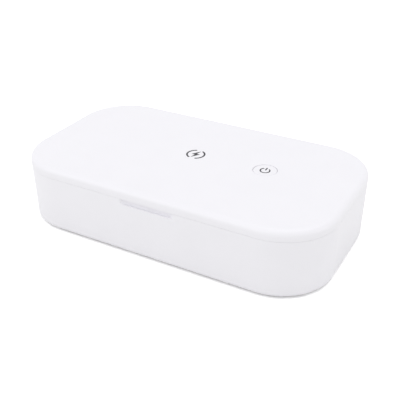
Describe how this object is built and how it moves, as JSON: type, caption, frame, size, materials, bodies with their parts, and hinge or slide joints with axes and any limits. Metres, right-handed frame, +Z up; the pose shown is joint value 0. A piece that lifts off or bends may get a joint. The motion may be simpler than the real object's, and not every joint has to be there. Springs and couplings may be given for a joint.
{
  "type": "ultraviolet phone sanitizer box",
  "caption": "Flat white box with a hinged lid, a round power button and a mirrored chamber lit by ultraviolet lamps, for disinfecting and wirelessly charging a phone.",
  "frame": {"origin": "centre of the footprint, on the plane under the feet", "axes": "+X along the box with the power button on its positive side, +Y from the front wall with the finger recess to the hinge at the back, +Z up"},
  "size_m": [0.228, 0.128, 0.049],
  "materials": {
    "white_shell": "moulded, satin gloss",
    "white_cover": "moulded, fine matte grain",
    "foot_rubber": "soft silicone",
    "screw_steel": "nickel plated",
    "mirror_coating": "vacuum metallised plastic",
    "reflector_sheet": "polished sheet",
    "quartz": "clear quartz",
    "lamp_cap": "fired ceramic, matte",
    "holder_plastic": "moulded, matte",
    "clear_window": "clear, polished",
    "clear_rest": "clear, polished",
    "circuit_board": "solder mask",
    "black_parts": "moulded, matte",
    "transformer_tape": "polyester tape over a core",
    "socket_steel": "drawn steel",
    "magnet_nickel": "nickel plated",
    "seal_rubber": "soft silicone",
    "coil_copper": "enamelled copper wire",
    "ferrite": "sintered sheet"
  },
  "bodies": {
    "base": {"base_shell": "white_shell", "bottom_cover": "white_cover", "rubber_feet": "foot_rubber", "cover_screws": "screw_steel", "chamber_tray": "mirror_coating", "lower_reflector": "reflector_sheet", "lower_lamp_tube": "quartz", "lower_lamp_caps": "lamp_cap", "lower_lamp_holders": "holder_plastic", "lower_window": "clear_window", "phone_rests": "clear_rest", "main_board": "circuit_board", "board_parts": "black_parts", "ballast_transformer": "transformer_tape", "board_screws": "screw_steel", "charge_socket": "socket_steel", "lid_sensor_board": "circuit_board", "base_magnets": "magnet_nickel", "light_seal": "seal_rubber", "hinge_pin": "screw_steel"},
    "lid": {"lid_shell": "white_shell", "lid_liner": "mirror_coating", "upper_reflector": "reflector_sheet", "upper_lamp_tube": "quartz", "upper_lamp_caps": "lamp_cap", "upper_lamp_holders": "holder_plastic", "upper_window": "clear_window", "charging_coil": "coil_copper", "ferrite_sheet": "ferrite", "charger_board": "circuit_board", "control_board": "circuit_board", "tact_switch": "black_parts", "lid_magnets": "magnet_nickel", "liner_screws": "screw_steel"},
    "button": {"power_button": "white_shell", "switch_plunger": "black_parts"}
  },
  "joints": [
    {"name": "lid_hinge", "type": "hinge", "parent": "base", "child": "lid", "pos_m": [0, 0.0615, 0.042], "axis": [-1, 0, 0], "range_deg": [0, 100]},
    {"name": "button_press", "type": "slide", "parent": "lid", "child": "button", "axis": [0, 0, -1], "range_m": [0, 0.0006], "stiffness_N_per_m": 800}
  ]
}
